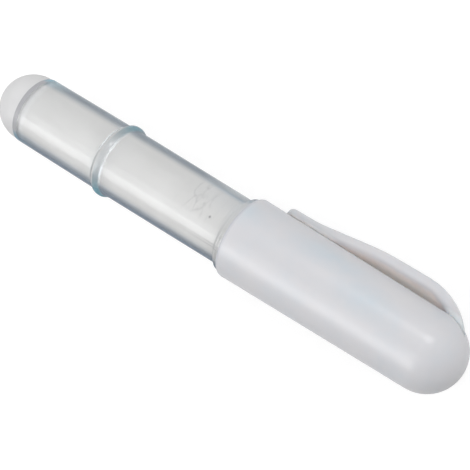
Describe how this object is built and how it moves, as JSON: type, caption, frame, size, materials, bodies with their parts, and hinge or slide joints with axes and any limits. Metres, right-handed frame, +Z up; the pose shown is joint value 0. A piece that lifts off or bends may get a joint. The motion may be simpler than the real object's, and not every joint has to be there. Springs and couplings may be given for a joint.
{
  "type": "chalk pen",
  "caption": "Refillable fabric chalk pen: a clear powder-filled barrel with a domed end plug, a toothed marking wheel at the nose and a push-on white cap with a pocket clip.",
  "frame": {"origin": "on the table, under the middle of the pen's outer box", "axes": "+X along the pen from the end plug to the cap's dome, +Z up, +Y towards the clip's side"},
  "size_m": [0.104, 0.0186, 0.0156],
  "materials": {
    "clear_barrel": "clear, faintly blue moulded plastic",
    "chalk": "packed white chalk powder",
    "plug_plastic": "slightly translucent white moulded plastic",
    "seal_rubber": "grey elastomer",
    "nose_plastic": "white moulded plastic",
    "wheel_steel": "stamped steel",
    "cap_plastic": "white moulded plastic with a soft gloss"
  },
  "bodies": {
    "barrel_body": {"barrel": "clear_barrel", "chalk_powder": "chalk", "nose": "nose_plastic", "axle_pin": "wheel_steel"},
    "plug_body": {"end_plug": "plug_plastic", "plug_seal": "seal_rubber"},
    "wheel_body": {"marking_wheel": "wheel_steel"},
    "cap_body": {"cap_shell": "cap_plastic"},
    "clip_body": {"clip": "cap_plastic"}
  },
  "joints": [
    {"name": "cap_slide", "type": "slide", "parent": "barrel_body", "child": "cap_body", "axis": [1, 0, 0], "range_m": [0, 0.03]},
    {"name": "clip_flex", "type": "hinge", "parent": "cap_body", "child": "clip_body", "pos_m": [0.04144, 0.00654, 0.00374], "axis": [0, -0.4494, -0.8934], "range_deg": [0, 6], "stiffness_Nm_per_rad": 0.3},
    {"name": "plug_slide", "type": "slide", "parent": "barrel_body", "child": "plug_body", "axis": [-1, 0, 0], "range_m": [0, 0.006]},
    {"name": "wheel_spin", "type": "hinge", "parent": "barrel_body", "child": "wheel_body", "pos_m": [0.03045, -0.00153, 0.0078], "axis": [0, 1, 0], "continuous": true}
  ]
}
